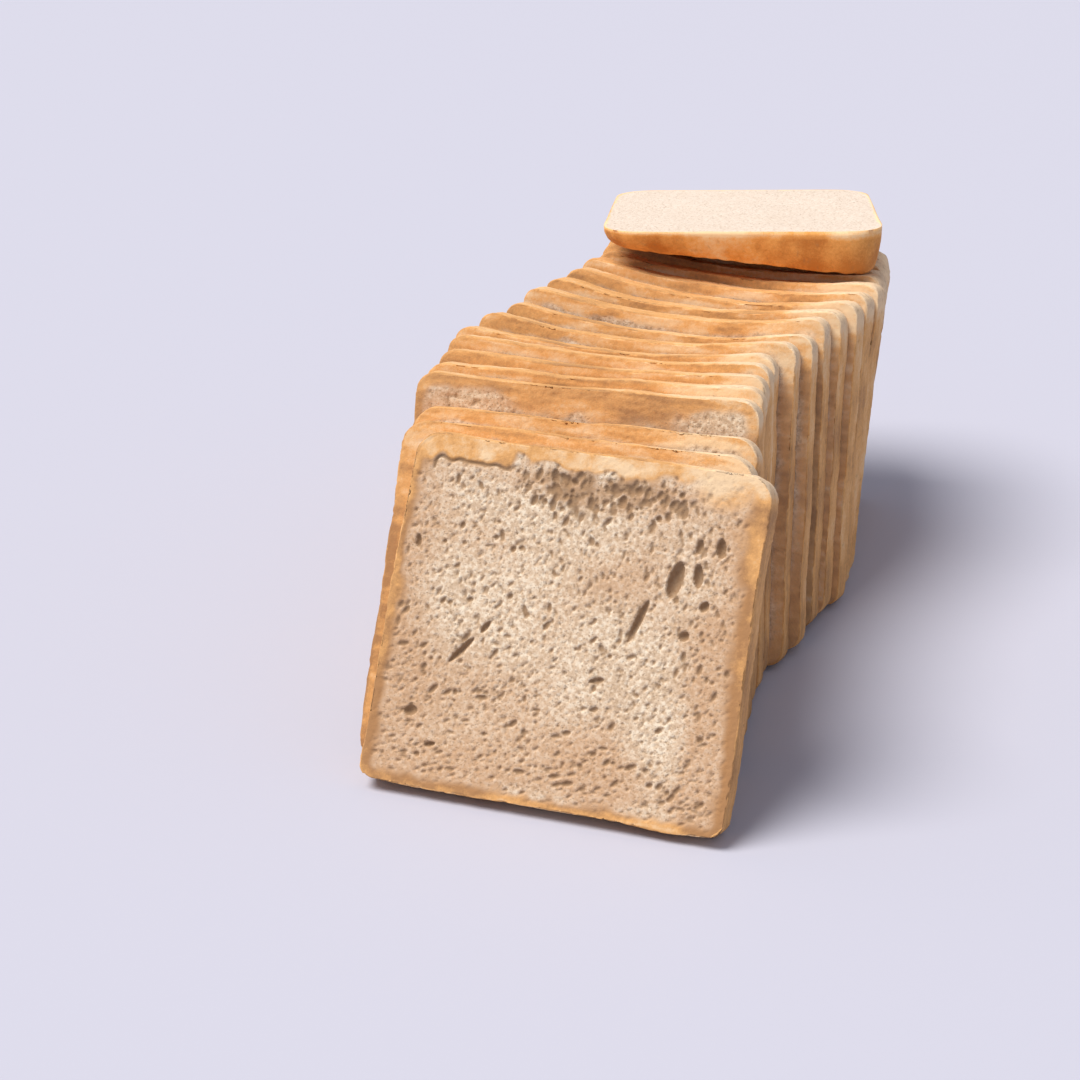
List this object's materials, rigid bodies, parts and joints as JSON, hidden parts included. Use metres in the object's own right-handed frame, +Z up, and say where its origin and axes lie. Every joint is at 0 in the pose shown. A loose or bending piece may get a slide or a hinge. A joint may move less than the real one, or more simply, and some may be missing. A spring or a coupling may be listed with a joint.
{
  "type": "sliced sandwich loaf",
  "caption": "Square sandwich loaf cut into thin upright slices that lean back in a row, with the end crust laid cut face up on the far end.",
  "frame": {"origin": "middle of the footprint's box, on the surface the slices stand on", "axes": "+Z up, +Y along the row from the front slice to the far end, +X to the right seen from the front slice"},
  "size_m": [0.1364, 0.34, 0.1305],
  "materials": {
    "bread_slice": "soft open brown crumb with a thin golden crust at its rim",
    "bread_heel": "baked orange-brown crust with a pale cut face"
  },
  "bodies": {
    "root": {"slice_01": "bread_slice", "slice_02": "bread_slice", "slice_03": "bread_slice", "slice_04": "bread_slice", "slice_05": "bread_slice", "slice_06": "bread_slice", "slice_07": "bread_slice", "slice_08": "bread_slice", "slice_09": "bread_slice", "slice_10": "bread_slice", "slice_11": "bread_slice", "slice_12": "bread_slice", "slice_13": "bread_slice", "slice_14": "bread_slice", "slice_15": "bread_slice", "slice_16": "bread_slice", "slice_17": "bread_slice", "slice_18": "bread_slice", "slice_19": "bread_slice", "slice_20": "bread_slice", "slice_21": "bread_slice", "heel": "bread_heel"}
  },
  "joints": []
}
